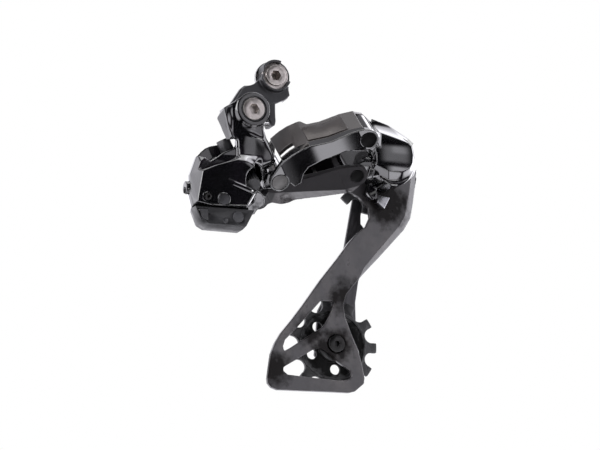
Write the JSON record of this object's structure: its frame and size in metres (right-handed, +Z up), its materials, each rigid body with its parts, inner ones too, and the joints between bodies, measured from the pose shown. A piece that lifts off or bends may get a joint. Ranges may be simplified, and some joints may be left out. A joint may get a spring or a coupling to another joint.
{
  "type": "rear bicycle derailleur",
  "caption": "Electronic rear derailleur for a road bicycle: bracket link, motor knuckle, slanted parallelogram, sprung cage and toothed pulleys.",
  "frame": {"origin": "axis of the hanger bolt, at the face that seats on the frame's hanger", "axes": "+Y inboard towards the wheel along the hanger bolt, +X forward on the bicycle, +Z up"},
  "size_m": [0.1336, 0.0619, 0.1718],
  "materials": {
    "gloss_black": "deep gloss black paint over forged aluminium",
    "satin_alloy": "satin black anodised",
    "satin_link": "satin dark anodised",
    "brown_satin": "satin brown-grey",
    "bolt_titanium": "warm grey turned metal",
    "steel": "turned",
    "gear_steel": "ground teeth",
    "dark_steel": "black oxide",
    "pin_steel": "dark plated",
    "spring_steel": "drawn wire",
    "ball_steel": "polished",
    "bronze": "sintered, oiled",
    "seal_rubber": "soft black",
    "flap_rubber": "soft dark grey",
    "button_rubber": "soft dark grey",
    "cover_plastic": "moulded, fine texture",
    "black_plastic": "moulded",
    "board": "coated circuit board",
    "lens": "translucent lens",
    "cage_carbon": "dark satin carbon composite with a polished edge bevel",
    "cage_alloy": "satin dark anodised",
    "bright_alloy": "machined",
    "pulley_resin": "moulded dark grey",
    "cap_alloy": "pressed, dark anodised"
  },
  "bodies": {
    "bracket_link": {"bracket_link": "satin_alloy", "mount_bolt": "bolt_titanium", "mount_clip": "spring_steel", "hanger_stop": "steel", "b_axle": "bolt_titanium"},
    "b_knuckle": {"b_knuckle": "gloss_black", "b_bush": "bronze", "b_seal": "seal_rubber", "end_adjust_screw": "steel", "housing_cover": "gloss_black", "cover_screws": "steel", "gear_case_lid": "satin_alloy", "motor": "steel", "circuit_board": "board", "wire_port": "black_plastic", "limit_screw": "dark_steel", "front_plug": "satin_alloy", "rear_screw": "dark_steel", "lower_cover": "cover_plastic", "flap_pin": "steel", "status_lens": "lens", "b_link_bushes": "bronze", "return_spring": "spring_steel"},
    "motor_shaft": {"motor_pinion": "gear_steel"},
    "port_flap": {"port_flap": "flap_rubber"},
    "mode_button": {"mode_button": "button_rubber"},
    "outer_link": {"outer_link": "gloss_black", "outer_link_pins": "pin_steel", "name_plate": "brown_satin"},
    "inner_link": {"inner_link": "satin_link", "inner_link_pins": "pin_steel", "drive_gear": "gear_steel"},
    "p_knuckle": {"p_knuckle": "gloss_black", "p_link_bushes": "bronze", "p_bush": "bronze", "p_spring": "spring_steel", "p_seal": "seal_rubber", "bumper": "seal_rubber"},
    "cage": {"p_axle": "steel", "outer_plate": "cage_carbon", "inner_plate": "cage_alloy", "cage_stop": "bright_alloy", "guide_bolt": "dark_steel", "tension_bolt": "dark_steel", "guide_inner_race": "steel", "tension_inner_race": "steel"},
    "guide_wheel": {"guide_pulley": "pulley_resin", "guide_outer_race": "steel", "guide_balls": "ball_steel", "guide_caps": "cap_alloy"},
    "tension_wheel": {"tension_pulley": "pulley_resin", "tension_outer_race": "steel", "tension_balls": "ball_steel", "tension_caps": "cap_alloy"}
  },
  "joints": [
    {"name": "knuckle_swing", "type": "hinge", "parent": "bracket_link", "child": "b_knuckle", "pos_m": [-0.0141, -0.009, -0.0204], "axis": [0, 1, 0], "range_deg": [0, 35]},
    {"name": "shift", "type": "hinge", "parent": "b_knuckle", "child": "outer_link", "pos_m": [0.0019, 0.00016, -0.04842], "axis": [0, 0.766, 0.6428], "range_deg": [0, 70]},
    {"name": "inner_link_swing", "type": "hinge", "parent": "b_knuckle", "child": "inner_link", "pos_m": [-0.0014, 0.01914, -0.05704], "axis": [0, 0.766, 0.6428], "range_deg": [0, 70]},
    {"name": "p_knuckle_swing", "type": "hinge", "parent": "outer_link", "child": "p_knuckle", "pos_m": [0.04401, -0.01963, -0.02795], "axis": [0, 0.766, 0.6428], "range_deg": [-70, 0]},
    {"name": "motor_spin", "type": "hinge", "parent": "b_knuckle", "child": "motor_shaft", "pos_m": [-0.01287, 0.01398, -0.05089], "axis": [0, 0.766, 0.6428], "range_deg": [-210, 0]},
    {"name": "cage_swing", "type": "hinge", "parent": "p_knuckle", "child": "cage", "pos_m": [0.0624, 0, -0.0458], "axis": [0, -1, 0], "range_deg": [0, 105]},
    {"name": "guide_spin", "type": "hinge", "parent": "cage", "child": "guide_wheel", "pos_m": [0.0609, 0.01, -0.0416], "axis": [0, 1, 0], "continuous": true},
    {"name": "tension_spin", "type": "hinge", "parent": "cage", "child": "tension_wheel", "pos_m": [0.0379, 0.01, -0.137], "axis": [0, 1, 0], "continuous": true},
    {"name": "flap_hinge", "type": "hinge", "parent": "b_knuckle", "child": "port_flap", "pos_m": [-0.0404, -0.0109, -0.0749], "axis": [-1, 0, 0], "range_deg": [0, 80]},
    {"name": "button_press", "type": "slide", "parent": "b_knuckle", "child": "mode_button", "axis": [0, 1, 0], "range_m": [0, 0.0006]}
  ],
  "couplings": [
    {"joint": "inner_link_swing", "follows": "shift", "ratio": 1},
    {"joint": "p_knuckle_swing", "follows": "shift", "ratio": -1},
    {"joint": "motor_spin", "follows": "shift", "ratio": -3}
  ]
}
